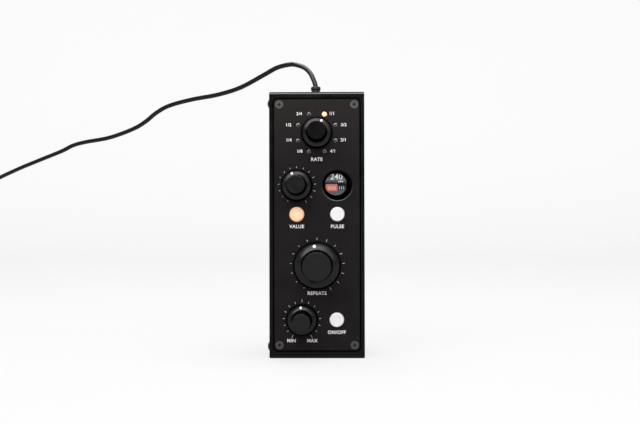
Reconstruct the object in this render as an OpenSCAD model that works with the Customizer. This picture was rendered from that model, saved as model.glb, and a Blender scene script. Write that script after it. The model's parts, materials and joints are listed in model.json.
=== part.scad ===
// Desktop delay unit for audio: an upright metal case with knobs, buttons, dial lights and a round display.
// Millimetres. The origin is the middle of the case's bottom face, +Z is up and the front panel faces -Y.

/* [Case] */
// Width of the case
case_w = 62; // [60:1:76]
// Height of the case, standing on its lower end
case_h = 173.5; // [171:0.5:190]
// Depth of the case, front edge to back face
case_d = 45; // [43:1:60]
// Thickness of the two side walls
side_wall = 2.6; // [2:0.1:3.4]
// Thickness of the top wall
top_wall = 4.3; // [3:0.1:4.8]
// Thickness of the bottom wall
bottom_wall = 4.7; // [3:0.1:5]
// Thickness of the back wall
back_wall = 2.5; // [2:0.1:4]
// Bevel along the top and bottom edges, front and back
end_bevel = 1.5; // [0.5:0.1:2]
// Bevel along the upright edges
side_bevel = 0.4; // [0.2:0.1:0.8]
// Rounding of the outline's corners, seen from the front
corner_r = 0.8; // [0.4:0.1:1.5]
// Width of the square corner posts
post_w = 9; // [8:0.5:10]
// Width of the ledge behind the panel's edge
ledge_w = 1.4; // [0.8:0.1:2]
// Depth of that ledge
ledge_t = 2; // [1:0.1:3]

/* [Side cover] */
// Gap at the ends of the side cover's ledge
cover_gap = 0.1; // [0.05:0.01:0.2]
// Distance of a side screw from the end of the case
side_screw_inset = 6; // [5:0.1:8]
// Distance of the side screws behind the front edge
side_screw_back = 14; // [13.5:0.5:24]

/* [Front panel] */
// Thickness of the front panel
panel_t = 2; // [1.5:0.1:3]
// How far the panel sits behind the case's front edge
panel_inset = 0.2; // [0:0.1:0.6]
// Seam between the panel and the case
panel_gap = 0.4; // [0.2:0.05:0.6]
// Rounding of the panel's corners
panel_r = 2.6; // [1.5:0.1:3]
// Distance of a panel screw from the panel's edges
panel_screw_inset = 3.6; // [3.2:0.1:4.2]

/* [Fasteners] */
// Thread diameter of the case screws
screw_d = 3; // [2.5:0.1:3.5]
// Length of the panel screws under the panel's face
panel_screw_len = 9; // [6:0.5:11]
// Length of the side screws under the head
side_screw_len = 9; // [6:0.5:9.5]
// Diameter of a countersunk head
flat_head_d = 5.4; // [5:0.1:6]
// Depth of a countersunk head
flat_head_h = 1.4; // [1.2:0.05:1.45]
// Diameter of a pan head
pan_head_d = 6; // [5:0.1:6.5]
// Height of a pan head
pan_head_h = 2.1; // [1.5:0.1:2.6]
// Thread diameter of the board screws
board_screw_d = 2.5; // [2:0.1:2.6]
// Length of the board screws under the head
board_screw_len = 5; // [3.5:0.5:6]
// Diameter of a board screw's head
board_head_d = 4.4; // [4:0.1:5]
// Height of a board screw's head
board_head_h = 1.6; // [1.2:0.1:2]
// Gap round a screw in its hole
screw_gap = 0.1; // [0.05:0.01:0.15]
// Width of the cross slots in the heads
cross_w = 0.7; // [0.5:0.05:0.9]
// Length of the cross slots in the heads
cross_l = 2.6; // [2:0.1:3]
// Depth of the cross slots in the heads
cross_t = 0.9; // [0.5:0.1:1]

/* [Places on the panel] */
// Drop of the time dial below the case's top
time_drop = 26.8; // [26:0.1:28]
// Drop of the row with the param knob and the display
row_drop = 61.1; // [60:0.1:63]
// Drop of the param and tempo buttons
button_drop = 79.9; // [79.8:0.1:84]
// Distance of the param knob and button from the panel's left edge
param_inset = 14.9; // [14:0.1:16]
// Distance of the display and the tempo button from the panel's right edge
right_inset = 14.7; // [14:0.1:15]
// Distance of the on-off button from the panel's right edge
on_off_inset = 15.2; // [14:0.1:15.5]
// Height of the feedback knob
feedback_rise = 60.4; // [58:0.1:64]
// Distance of the mix knob from the panel's left edge
mix_inset = 18.2; // [16:0.1:18.8]
// Height of the row with the mix knob and the on-off button
mix_rise = 25.1; // [24.5:0.1:28]

/* [Knobs] */
// Diameter of a small knob's brim
small_knob_d = 20.8; // [20:0.1:21]
// Diameter of a small knob's cap where it rises from the brim
small_base_d = 12.6; // [12.4:0.1:13.2]
// Diameter of a small knob's cap at its front
small_cap_d = 11.6; // [10.4:0.1:12]
// Diameter of the large knob's brim
large_knob_d = 31.2; // [29.6:0.1:31.6]
// Diameter of the large knob's cap where it rises from the brim
large_base_d = 19.4; // [19:0.1:21]
// Diameter of the large knob's cap at its front
large_cap_d = 18.4; // [16:0.1:18.8]
// Height of a brim at its rim
rim_h = 2.6; // [2.4:0.1:3]
// How far a brim's side leans in from the bottom to the rim
side_lean = 1.1; // [0.8:0.1:1.2]
// Slope of a brim at its rim, in degrees
rim_slope = 4; // [2:1:8]
// Slope of a brim at the foot of the cap, in degrees
foot_slope = 42; // [35:1:50]
// Whole height of a knob
knob_h = 16.6; // [13.5:0.1:18]
// Gap between a knob and the panel
knob_gap = 0.8; // [0.6:0.1:1.5]
// Rounding of the cap's front edge
cap_round = 0.3; // [0.2:0.1:1]
// Diameter of a small knob's pointer dot
small_dot_d = 1.6; // [1.4:0.1:2]
// Distance of a small knob's pointer dot from the brim's edge
small_dot_inset = 2.2; // [2:0.1:2.5]
// Diameter of the large knob's pointer dot
large_dot_d = 2.1; // [1.8:0.1:2.6]
// Distance of the large knob's pointer dot from the brim's edge
large_dot_inset = 3; // [2.8:0.1:3.4]
// Depth of a pointer dot in the brim
dot_t = 1; // [0.6:0.1:1.2]
// How far a pointer dot stands out of the brim
dot_out = 0.08; // [0.02:0.01:0.2]
// Clearance between a knob, its shaft and its dot
knob_fit = 0.05; // [0.02:0.01:0.08]

/* [Pointer angles] */
// Time pointer, clockwise from the top
time_turn = 22.5; // [-157.5:45:157.5]
// Param pointer, clockwise from the top
param_turn = -21.4; // [-150:0.1:150]
// Feedback pointer, clockwise from the top
feedback_turn = -7.5; // [-150:0.1:150]
// Mix pointer, clockwise from the top
mix_turn = -5.3; // [-150:0.1:150]

/* [Rotary controls] */
// Width of a pot body
pot_w = 9.8; // [9.4:0.1:11]
// Height of a pot body
pot_h = 11; // [10:0.1:12]
// Width and height of the time switch body
switch_w = 12.4; // [11:0.1:13]
// Thickness of a control's rear cover
rear_cover_t = 1.2; // [0.8:0.1:1.5]
// Diameter of the threaded bush
neck_d = 7; // [6.8:0.1:7.5]
// How far the threaded bush stands out of the panel
neck_out = 3.4; // [3:0.1:4]
// Gap round the threaded bush in the panel
neck_gap = 0.2; // [0.1:0.05:0.3]
// Diameter of the shaft
shaft_d = 6; // [5.5:0.1:6.2]
// How far the shaft stands out of the panel
shaft_out = 11.5; // [9:0.5:12.5]
// Running clearance of the shaft in its bush
shaft_play = 0.05; // [0.02:0.01:0.09]
// Depth of the flat on the shaft
flat_cut = 1.5; // [1:0.1:2]
// Length of the flat on the shaft
flat_len = 7; // [5:0.5:7.5]
// Diameter of the rotor on the shaft's inner end
rotor_d = 8; // [7.4:0.1:8.2]
// Thickness of the rotor
rotor_t = 1.6; // [1:0.1:2.2]
// Room round the rotor
rotor_gap = 0.35; // [0.3:0.01:0.5]
// Width of a nut across its flats
nut_w = 10; // [9:0.5:10.5]
// Thickness of a nut
nut_t = 2; // [1.5:0.1:2.4]
// Thickness of a washer
washer_t = 0.5; // [0.3:0.1:0.6]
// Diameter of a washer
washer_d = 11; // [10:0.1:11.5]
// Room round the nut inside a knob
nut_room = 0.5; // [0.4:0.1:0.6]

/* [Buttons] */
// Diameter of a button cap
button_d = 9.2; // [8.8:0.1:9.8]
// How far a button stands out of the panel
button_out = 1.4; // [1.1:0.1:2.5]
// Gap round a button in the panel
button_gap = 0.3; // [0.3:0.05:0.4]
// Rounding of a button's front edge
button_round = 0.5; // [0.2:0.1:0.8]
// Diameter of the flange that keeps a button in
flange_d = 12; // [11.6:0.1:12.4]
// Thickness of that flange
flange_t = 1; // [0.8:0.1:1.2]
// Gap between the flange and the panel
flange_gap = 0.2; // [0.1:0.05:0.3]
// Travel of a button
button_travel = 0.8; // [0.4:0.1:0.9]
// Diameter of a switch plunger
plunger_d = 3.4; // [3:0.1:3.6]
// Length of a plunger inside its switch
plunger_in = 1.4; // [1:0.1:1.6]
// Gap round a plunger and under it at full travel
plunger_gap = 0.3; // [0.3:0.05:0.4]
// Width of a switch body
tact_w = 6; // [5.5:0.1:6.4]
// Height of a switch body
tact_h = 4.3; // [3.8:0.1:4.5]
// Width of a button lamp
lamp_w = 2.8; // [2:0.1:3]
// Height of a button lamp
lamp_h = 1.9; // [1.2:0.1:2.2]

/* [Dial lights] */
// Radius of the ring of lights
light_ring_r = 13.2; // [12.8:0.1:13.5]
// Number of lights in the ring
light_count = 8; // [8:1:8]
// Diameter of a light
light_d = 3; // [2.6:0.1:3.2]
// How far a light stands out of the panel
light_out = 0.6; // [0.2:0.1:1]
// Whole height of a light
light_h = 5.2; // [4.8:0.1:5.6]
// Diameter of a light's foot
light_foot_d = 3.8; // [3.6:0.1:4]
// Thickness of a light's foot
light_foot_t = 1; // [0.6:0.1:1.2]
// Gap round a light in the panel
light_gap = 0.15; // [0.1:0.05:0.25]
// Bore of the spacer tube behind a light
spacer_bore = 2; // [1.5:0.1:2.4]

/* [Display] */
// Diameter of the hole in the panel
display_hole_d = 19.4; // [18.5:0.1:20]
// Bevel round that hole
display_bevel = 0.5; // [0.2:0.1:0.8]
// Gap round the clear window
window_gap = 0.15; // [0.1:0.05:0.25]
// Thickness of the clear window
window_t = 1.2; // [0.8:0.1:1.4]
// Diameter of the opening in the bezel
screen_d = 14.2; // [12:0.1:15]
// Distance of that opening to the left of the hole's middle
screen_left = 0.8; // [0:0.1:1]
// Distance of that opening above the hole's middle
screen_up = 0.7; // [0:0.1:1]
// Width of the square bezel
bezel_w = 23; // [21:0.5:24]
// Thickness of the bezel
bezel_t = 1.6; // [1:0.1:2]
// Diameter of the screen
glass_d = 18; // [16:0.1:20]
// Thickness of the screen
glass_t = 1.8; // [1.4:0.1:2]
// Thickness of the display board
display_board_t = 1.2; // [0.8:0.1:1.4]
// Width of the display's header
header_w = 14; // [10:0.5:18]
// Thickness of the display's header
header_t = 2.5; // [2:0.1:3]

/* [Boards] */
// Room between the panel and the control board
board_room = 7.6; // [7.4:0.1:8.4]
// Thickness of the boards
board_t = 1.6; // [1:0.1:1.8]
// Gap between the control board and the case
board_gap = 1.2; // [0.8:0.1:1.6]
// Diameter of a standoff
standoff_d = 5; // [4.4:0.1:5.5]
// Distance of a standoff from the board's side edge
standoff_inset_x = 4; // [3.5:0.1:5]
// Distance of a standoff from the board's end
standoff_inset_z = 5; // [4:0.1:6]
// Width of the main board
main_w = 44; // [40:1:46]
// Height of the main board
main_h = 92; // [86:1:96]
// Height of the main board's lower edge
main_z = 38; // [34:1:42]
// Height of the bosses behind the main board
boss_h = 5; // [4.5:0.5:6]
// Diameter of those bosses
boss_d = 6; // [5:0.1:7]
// Distance of a boss from the main board's edges
boss_inset = 4; // [3.6:0.1:5]
// Width of the ribbon cable
ribbon_w = 20; // [16:1:24]
// Thickness of the ribbon cable
ribbon_t = 0.8; // [0.5:0.1:1]
// Height of the ribbon cable
ribbon_z = 57; // [54:1:60]
// Height of the headers on the boards
plug_in_h = 5; // [4.5:0.5:6]
// Width of a ribbon header, across the ribbon
ribbon_header_t = 5; // [4.5:0.5:6]

/* [Rear feet] */
// Diameter of a rear foot
foot_d = 8; // [6:0.5:10]
// Thickness of a rear foot
foot_t = 1.8; // [1:0.1:3]
// Distance of a rear foot's middle from the case's edges
foot_inset = 8; // [7:0.5:12]

/* [Cord] */
// Diameter of the cord
cord_d = 3.3; // [3.3:0.1:3.3]
// Distance of the cord's collar from the middle, to the left
bush_left = 0.9; // [0.9:0.1:0.9]
// Diameter of the rim round the collar's top
bush_d = 6.6; // [6:0.1:7]
// Height of that rim
bush_rim_h = 2.6; // [2:0.1:4]
// Bevel of that rim's edges
bush_bevel = 0.5; // [0.3:0.1:0.8]
// Diameter of the collar under its rim
bush_neck_d = 5.8; // [5.6:0.1:6]
// Height of the collar
bush_h = 6.7; // [6.7:0.1:6.7]
// Diameter of the collar's thread in the top wall
bush_thread_d = 5; // [4.6:0.1:5.4]
// Thickness of the nut under the top wall
bush_nut_t = 2; // [1.5:0.1:2.5]
// Width of that nut across its flats
bush_nut_w = 8; // [7.5:0.5:9]
// Gap round the cord and the collar's thread
bush_gap = 0.1; // [0.05:0.01:0.15]
// Turns of the coil
coil_turns = 9; // [9:1:9]
// Layers of the coil
coil_layers = 4; // [4:2:4]
// Step from one turn to the next
coil_step = 3.85; // [3.8:0.05:4]
// Radius of the coil's outer turn
coil_r = 20.2; // [20:0.1:21]
// Thickness of the coil tie
tie_t = 0.8; // [0.5:0.1:1]
// Width of the coil tie
tie_w = 6; // [4:0.5:7]
// Gap between the coil and its tie
tie_gap = 0.4; // [0.35:0.05:0.5]

/* [Plug] */
// Width of the plug's grip
grip_w = 15; // [14:0.5:17]
// Thickness of the plug's grip
grip_t = 8; // [8:0.5:8]
// Length of the plug's grip
grip_l = 20; // [18:0.5:24]
// Rounding of the grip's edges
grip_round = 2; // [1:0.1:3]
// Length of the tapered boot behind the grip
boot_l = 11; // [8:0.5:14]
// Diameter of the boot at the cord
boot_d = 4.4; // [4:0.1:5]
// Diameter of the boot at the grip
boot_end_d = 6; // [5:0.1:7]
// Width of the metal shell
shell_w = 12; // [11.5:0.1:12.5]
// Thickness of the metal shell
shell_h = 4.5; // [4.3:0.1:4.7]
// Length of the metal shell
shell_l = 12; // [11:0.5:13]
// Wall of the metal shell
shell_wall = 0.4; // [0.3:0.05:0.5]
// Thickness of the tongue inside the shell
tongue_t = 1.8; // [1.5:0.1:2]
// Gap round the tongue inside the shell
tongue_gap = 0.1; // [0.05:0.05:0.2]
// How far the tongue ends behind the shell's mouth
tongue_back = 1; // [0.5:0.1:2]

/* [Hidden] */
$fn = 64;
// Overshoot of a cut past a face
cut = 1;
// Hair by which a brim's edge reaches into the cap, so that the two do not only touch
knob_blend = 0.02;
// Part of a pan head's height that is domed
dome_share = 0.6;

// Depths, front to back
front_y = -case_d / 2;
back_y = case_d / 2;
panel_front_y = front_y + panel_inset;
panel_back_y = panel_front_y + panel_t;
board_front_y = panel_back_y + board_room;
board_back_y = board_front_y + board_t;
cover_front_y = board_front_y - rear_cover_t;
room_back_y = back_y - back_wall;
main_back_y = room_back_y - boss_h;
main_front_y = main_back_y - board_t;
side_screw_y = front_y + side_screw_back;
flange_back_y = panel_back_y + flange_gap + flange_t;
tact_front_y = board_front_y - tact_h;
light_foot_y = panel_front_y - light_out + light_h;
bezel_back_y = panel_back_y + bezel_t;
glass_back_y = bezel_back_y + glass_t;
display_board_back_y = glass_back_y + display_board_t;
knob_back_y = panel_front_y - knob_gap;

// The opening in the case and the panel in it
open_x = case_w / 2 - side_wall;
open_low = bottom_wall;
open_high = case_h - top_wall;
open_h = open_high - open_low;
open_mid = (open_high + open_low) / 2;
panel_w = 2 * (open_x - panel_gap);
panel_h = open_h - 2 * panel_gap;
panel_screw_x = panel_w / 2 - panel_screw_inset;
panel_screw_z = panel_h / 2 - panel_screw_inset;
side_screw_zs = [side_screw_inset, case_h - side_screw_inset];

// The four rotary controls, the three buttons and the display, as places on the panel
row_z = case_h - row_drop;
button_row_z = case_h - button_drop;
param_x = param_inset - panel_w / 2;
right_x = panel_w / 2 - right_inset;
time_at = [0, case_h - time_drop];
param_at = [param_x, row_z];
feedback_at = [0, feedback_rise];
mix_at = [mix_inset - panel_w / 2, mix_rise];
control_places = [time_at, param_at, feedback_at, mix_at];
param_button_at = [param_x, button_row_z];
tempo_button_at = [right_x, button_row_z];
on_off_button_at = [panel_w / 2 - on_off_inset, mix_rise];
button_places = [param_button_at, tempo_button_at, on_off_button_at];
display_at = [right_x, row_z];
screen_at = display_at + [-screen_left, screen_up];

// The control board fits between the corner posts, with a narrower tab up and down between them
board_w = 2 * (open_x - ledge_w - board_gap);
board_low = open_low + post_w + board_gap;
board_high = open_high - post_w - board_gap;
board_h = board_high - board_low;
board_mid = (board_high + board_low) / 2;
tab_w = 2 * (open_x - post_w - board_gap);
tab_low = open_low + ledge_w + board_gap;
tab_high = open_high - ledge_w - board_gap;
standoff_x = board_w / 2 - standoff_inset_x;
standoff_z = board_h / 2 - standoff_inset_z;
lamp_drop = tact_w / 2 + lamp_w / 2 + screw_gap;

// The main board, and what stands on it above the ribbon's header
main_mid = main_z + main_h / 2;
boss_x = main_w / 2 - boss_inset;
boss_z = main_h / 2 - boss_inset;
chip_sizes = [[14, 14, 1.4], [9, 6, 1.2], [6, 6, 1.6]];
chip_places = [[0, 14], [-11, 30], [11, 30]];
capacitor_d = 6.3;
capacitor_h = 7.7;
capacitor_round = 0.5;
capacitor_places = [[-9, 43], [0, 43], [9, 43]];
cord_header_size = [10, 8];
cord_header_top = main_z + main_h - boss_inset;
ribbon_bow = 1.15;

// A light's angle on the ring, and its place, for the light with number i
light_step = 360 / light_count;
function light_angle(i) = time_turn + light_step * i;
function on_ring(at, radius, angle) = [at[0] + radius * sin(angle), at[1] + radius * cos(angle)];
function light_at(i) = on_ring(time_at, light_ring_r, light_angle(i));

// Cord: its way from the collar to the coil, as points chosen by hand
down = [0, 0, -1];
forward = [0, -1, 0];
exit_z = case_h + bush_h;
coil_mid = [-305, 62];
coil_z = tie_t + tie_gap + cord_d / 2;
coil_in_r = coil_r - coil_step * coil_turns / coil_layers;
coil_enter = [coil_mid[0] - coil_r, coil_mid[1], coil_z];
cord_points = [
    [-bush_left, 0, exit_z], [-1.3, 0.3, exit_z + 1.8], [-2.4, 1.2, 185.2], [-4.6, 3, 190],
    [-8, 5, 193.8], [-12, 7, 196], [-18, 11, 197.8], [-28, 17, 196.8], [-38, 22, 192.5], [-56, 33, 185.4],
    [-74, 43, 181.9], [-94, 53, 180.1], [-113, 64, 177.2], [-124, 69, 172.6], [-134, 74, 166.1],
    [-145, 79, 161], [-166, 89, 155.5], [-188, 100, 153.2], [-200, 105, 150.9], [-211, 110, 146.7],
    [-234, 120, 139.7], [-258, 131, 132.2], [-283, 141, 122.4], [-305, 147, 108.6], [-322, 146, 89],
    [-330, 137, 66], [-332, 122, 42], [-330, 104, 21], [-327, 84, 7],
    coil_enter + [0, 2 * cord_d, 0], coil_enter + [0, cord_d, 0]
];
cord_steps = 3;
cord_sides = 8;
coil_sides = 6;

// The cord's tail inside: straight through the collar, then down and back to its header on the main board,
// as shares of the way down and of the way back
bush_low = open_high - bush_nut_t - cut;
tail_foot = [-bush_left, main_front_y - plug_in_h / 2, cord_header_top];
tail_shape = [[0.2, 0.02], [0.42, 0.25], [0.64, 0.7], [0.85, 0.97]];
tail_points = concat(
    [[-bush_left, 0, exit_z], [-bush_left, 0, bush_low]],
    [for (share = tail_shape)
        [-bush_left, share[1] * tail_foot[1], bush_low - share[0] * (bush_low - tail_foot[2])]],
    [tail_foot + [0, 0, cord_d], tail_foot]
);

// The coil's turns lie in layers: it winds in, climbs, winds out, and so on
layer_turns = coil_turns / coil_layers;
loop_rings = 24;
climb_turns = 0.5;
function ease(t) = t <= 0 ? 0 : t >= 1 ? 1 : t * t * (3 - 2 * t);
function climbs(turn) =
    [for (k = [1 : coil_layers - 1]) ease((turn - k * layer_turns) / climb_turns + 0.5)];
function total(list) = list * [for (value = list) 1];
function turn_radius(turn) =
    let (layer = min(floor(turn / layer_turns), coil_layers - 1), part = turn - layer * layer_turns)
    layer % 2 == 0 ? coil_r - coil_step * part : coil_in_r + coil_step * part;
function coil_point(turn) =
    let (radius = turn_radius(turn), angle = 180 + 360 * turn, climb = coil_step * total(climbs(turn)))
    [coil_mid[0] + radius * cos(angle), coil_mid[1] + radius * sin(angle), coil_z + climb];

// From the top turn the cord runs level, comes down beside the coil and goes straight into the plug's boot
coil_leave = coil_point(coil_turns);
level_run = 14;
down_run = 28;
run_step = 4;
plug_axis = [coil_leave[0], coil_leave[1] - level_run - down_run - cord_d, grip_t / 2];
function down_point(s) =
    let (drop = ease((s - level_run) / down_run))
    [coil_leave[0], coil_leave[1] - s, coil_leave[2] * (1 - drop) + plug_axis[2] * drop];
coil_points = concat(
    [coil_enter + [0, cord_d, 0]],
    [for (i = [0 : coil_turns * loop_rings]) coil_point(i / loop_rings)],
    [for (s = [run_step : run_step : level_run + down_run]) down_point(s)],
    [plug_axis + [0, cord_d, 0], plug_axis]
);
far_rings = loop_rings / 2;
coil_gap = min([
    for (i = [0 : len(coil_points) - 1], j = [i + far_rings : 1 : len(coil_points) - 1])
        norm(coil_points[i] - coil_points[j])
]) - cord_d;
echo(coil_least_gap = coil_gap);
grip_front_y = plug_axis[1] - boot_l - grip_l;

// A smooth curve through points, and a tube swept along it
first_side = [1, 0.3, 0.2];
function unit(v) = v / norm(v);
function spline(a, b, c, d, t) =
    0.5 * (2 * b + (c - a) * t + (2 * a - 5 * b + 4 * c - d) * t * t + (3 * b - a - 3 * c + d) * t * t * t);
function smooth(points, steps) =
    let (last = len(points) - 1)
    concat(
        [for (i = [0 : last - 1], k = [0 : steps - 1])
            spline(points[max(i - 1, 0)], points[i], points[i + 1], points[min(i + 2, last)], k / steps)],
        [points[last]]
    );
// The ends are square to the faces that they meet
function headings(points, ends) =
    let (last = len(points) - 1)
    [for (i = [0 : last]) i == 0 ? ends[0] : i == last ? ends[1] : unit(points[i + 1] - points[i - 1])];
function carried(normal, heading) = unit(normal - heading * (normal * heading));
function normals(ways) =
    [for (i = 0, n = carried(first_side, ways[0]); i < len(ways); i = i + 1,
        n = i < len(ways) ? carried(n, ways[i]) : n) n];
function tube_points(points, ends, d, sides) =
    let (ways = headings(points, ends), sideways = normals(ways))
    [for (i = [0 : len(points) - 1], k = [0 : sides - 1])
        let (angle = 360 * k / sides)
        points[i] + d / 2 * (cos(angle) * sideways[i] + sin(angle) * cross(ways[i], sideways[i]))];
function tube_faces(rings, sides) = concat(
    [for (i = [0 : rings - 2], k = [0 : sides - 1], half = [0, 1])
        let (a = i * sides + k, b = i * sides + (k + 1) % sides)
        half == 0 ? [a, a + sides, b] : [b, a + sides, b + sides]],
    [for (k = [1 : sides - 2]) [0, k, k + 1]],
    [for (k = [1 : sides - 2]) let (e = (rings - 1) * sides) [e, e + k + 1, e + k]]
);

// Helpers: flat outlines are drawn as seen from the front, with x to the right and y up
module slab(y, t) {
    translate([0, y + t, 0]) rotate([90, 0, 0]) linear_extrude(t) children();
}
module to_front(at, y) {
    translate([at[0], y, at[1]]) rotate([90, 0, 0]) children();
}
module to_back(at, y) {
    translate([at[0], y, at[1]]) rotate([-90, 0, 0]) children();
}
module rounded(w, h, r) {
    square([w - 2 * r, h], center = true);
    square([w, h - 2 * r], center = true);
    for (sx = [-1, 1], sy = [-1, 1]) translate([sx * (w / 2 - r), sy * (h / 2 - r)]) circle(r);
}
module at_corners(x, y) {
    for (sx = [-1, 1], sy = [-1, 1]) translate([sx * x, sy * y]) children();
}
module tube(points, ends, d, sides) {
    polyhedron(tube_points(points, ends, d, sides), tube_faces(len(points), sides), convexity = 10);
}
module hexagon(w) {
    circle(d = w / cos(30), $fn = 6);
}
// A disc with a rounded front edge, standing on its back
module soft_disc(d, h, r) {
    rotate_extrude() {
        square([d / 2 - r, h]);
        square([d / 2, h - r]);
        translate([d / 2 - r, h - r]) intersection() {
            circle(r);
            square(r);
        }
    }
}
module cross_slot() {
    for (turn = [0, 90]) rotate(turn) cube([cross_l, cross_w, 2 * cross_t], center = true);
}

// Case
module end_profile() {
    low = end_bevel;
    high = case_h - end_bevel;
    near = front_y + end_bevel;
    far = back_y - end_bevel;
    polygon([
        [near, 0], [far, 0], [back_y, low], [back_y, high], [far, case_h], [near, case_h],
        [front_y, high], [front_y, low]
    ]);
}
module plan_profile() {
    x = case_w / 2;
    near = x - side_bevel;
    polygon([
        [-near, front_y], [near, front_y], [x, front_y + side_bevel], [x, back_y - side_bevel],
        [near, back_y], [-near, back_y], [-x, back_y - side_bevel], [-x, front_y + side_bevel]
    ]);
}
module case_block() {
    intersection() {
        slab(front_y, case_d) translate([0, case_h / 2]) rounded(case_w, case_h, corner_r);
        rotate([90, 0, 90]) translate([0, 0, -case_w / 2]) linear_extrude(case_w) end_profile();
        linear_extrude(case_h) plan_profile();
    }
}
module case_room() {
    translate([-open_x, panel_back_y, open_low])
        cube([2 * open_x, room_back_y - panel_back_y, open_h]);
}
// The left wall belongs to the side cover
module cover_space() {
    translate([-case_w / 2 - cut, front_y - cut, -cut])
        cube([side_wall + cut, case_d + 2 * cut, case_h + 2 * cut]);
}
// Ledges, posts and bosses run half a wall into the walls that carry them
module rooted_outline() {
    translate([-open_x, open_low - bottom_wall / 2])
        square([2 * open_x + side_wall / 2, open_h + (bottom_wall + top_wall) / 2]);
}
module ledges() {
    slab(panel_back_y, ledge_t) difference() {
        rooted_outline();
        translate([-open_x - cut, open_low + ledge_w])
            square([2 * open_x - ledge_w + cut, open_h - 2 * ledge_w]);
    }
}
module corner_posts() {
    slab(panel_back_y, room_back_y + back_wall / 2 - panel_back_y) difference() {
        rooted_outline();
        translate([0, open_mid]) square([2 * case_w, open_h - 2 * post_w], center = true);
        translate([0, open_mid]) square([2 * (open_x - post_w), 2 * case_h], center = true);
    }
}
module board_bosses() {
    translate([0, 0, main_mid]) slab(main_back_y, boss_h + back_wall / 2)
        at_corners(boss_x, boss_z) circle(d = boss_d);
}
module case_body() {
    color("#232324") difference() {
        union() {
            difference() {
                case_block();
                slab(front_y - cut, panel_back_y - front_y + cut) translate([0, open_mid])
                    rounded(2 * open_x, open_h, panel_r + panel_gap);
                case_room();
                cover_space();
            }
            ledges();
            corner_posts();
            board_bosses();
        }
        translate([0, 0, open_mid]) slab(panel_back_y - cut, panel_screw_len + cut)
            at_corners(panel_screw_x, panel_screw_z) circle(d = screw_d + 2 * screw_gap);
        for (z = side_screw_zs) translate([-open_x - cut, side_screw_y, z]) rotate([0, 90, 0])
            cylinder(d = screw_d + 2 * screw_gap, h = side_screw_len - side_wall + 2 * cut);
        translate([0, 0, main_mid]) slab(main_back_y - cut, board_screw_len + cut)
            at_corners(boss_x, boss_z) circle(d = board_screw_d + 2 * screw_gap);
        translate([-bush_left, 0, open_high - cut])
            cylinder(d = bush_thread_d + 2 * bush_gap, h = top_wall + 2 * cut);
    }
}
module side_cover() {
    rib_low = open_low + post_w + cover_gap;
    rib_h = open_h - 2 * (post_w + cover_gap);
    color("#232324") difference() {
        union() {
            intersection() {
                case_block();
                cover_space();
            }
            translate([-open_x, panel_back_y, rib_low]) cube([ledge_w, ledge_t, rib_h]);
        }
        for (z = side_screw_zs) translate([-case_w / 2 - cut, side_screw_y, z]) rotate([0, 90, 0])
            cylinder(d = screw_d + 2 * screw_gap, h = side_wall + 2 * cut);
    }
}
module pan_screw(d, len, head_d, head_h) {
    dome_h = head_h * dome_share;
    dome_r = (dome_h * dome_h + head_d * head_d / 4) / (2 * dome_h);
    difference() {
        union() {
            translate([0, 0, -len]) cylinder(d = d, h = len);
            intersection() {
                cylinder(d = head_d, h = head_h);
                translate([0, 0, head_h - dome_r]) sphere(dome_r);
            }
        }
        translate([0, 0, head_h]) cross_slot();
    }
}
module side_cover_screws() {
    color("#2b2b2c") for (z = side_screw_zs) translate([-case_w / 2, side_screw_y, z]) rotate([0, -90, 0])
        pan_screw(screw_d, side_screw_len, pan_head_d, pan_head_h);
}

// Front panel
module panel_holes() {
    for (at = control_places) translate(at) circle(d = neck_d + 2 * neck_gap);
    for (at = button_places) translate(at) circle(d = button_d + 2 * button_gap);
    for (i = [0 : light_count - 1]) translate(light_at(i)) circle(d = light_d + 2 * light_gap);
    translate(display_at) circle(d = display_hole_d);
    translate([0, open_mid]) at_corners(panel_screw_x, panel_screw_z) circle(d = screw_d + 2 * screw_gap);
}
module flat_seat() {
    cylinder(d1 = screw_d + 2 * screw_gap, d2 = flat_head_d + 2 * screw_gap, h = flat_head_h);
}
module front_panel() {
    color("#2e2c2f") difference() {
        slab(panel_front_y, panel_t) difference() {
            translate([0, open_mid]) rounded(panel_w, panel_h, panel_r);
            panel_holes();
        }
        for (sx = [-1, 1], sz = [-1, 1])
            to_front([sx * panel_screw_x, open_mid + sz * panel_screw_z], panel_front_y + flat_head_h)
                flat_seat();
        to_front(display_at, panel_front_y + display_bevel)
            cylinder(d1 = display_hole_d, d2 = display_hole_d + 2 * display_bevel, h = display_bevel);
    }
}
module flat_screw() {
    difference() {
        union() {
            translate([0, 0, -panel_screw_len]) cylinder(d = screw_d, h = panel_screw_len);
            translate([0, 0, -flat_head_h]) cylinder(d1 = screw_d, d2 = flat_head_d, h = flat_head_h);
        }
        cross_slot();
    }
}
module front_panel_screws() {
    color("#77777a") for (sx = [-1, 1], sz = [-1, 1])
        to_front([sx * panel_screw_x, open_mid + sz * panel_screw_z], panel_front_y) flat_screw();
}
module rear_feet() {
    x = case_w / 2 - foot_inset;
    color("#161616") for (sx = [-1, 1], z = [foot_inset, case_h - foot_inset])
        to_back([sx * x, z], back_y) soft_disc(foot_d, foot_t, foot_t / 3);
}

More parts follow.
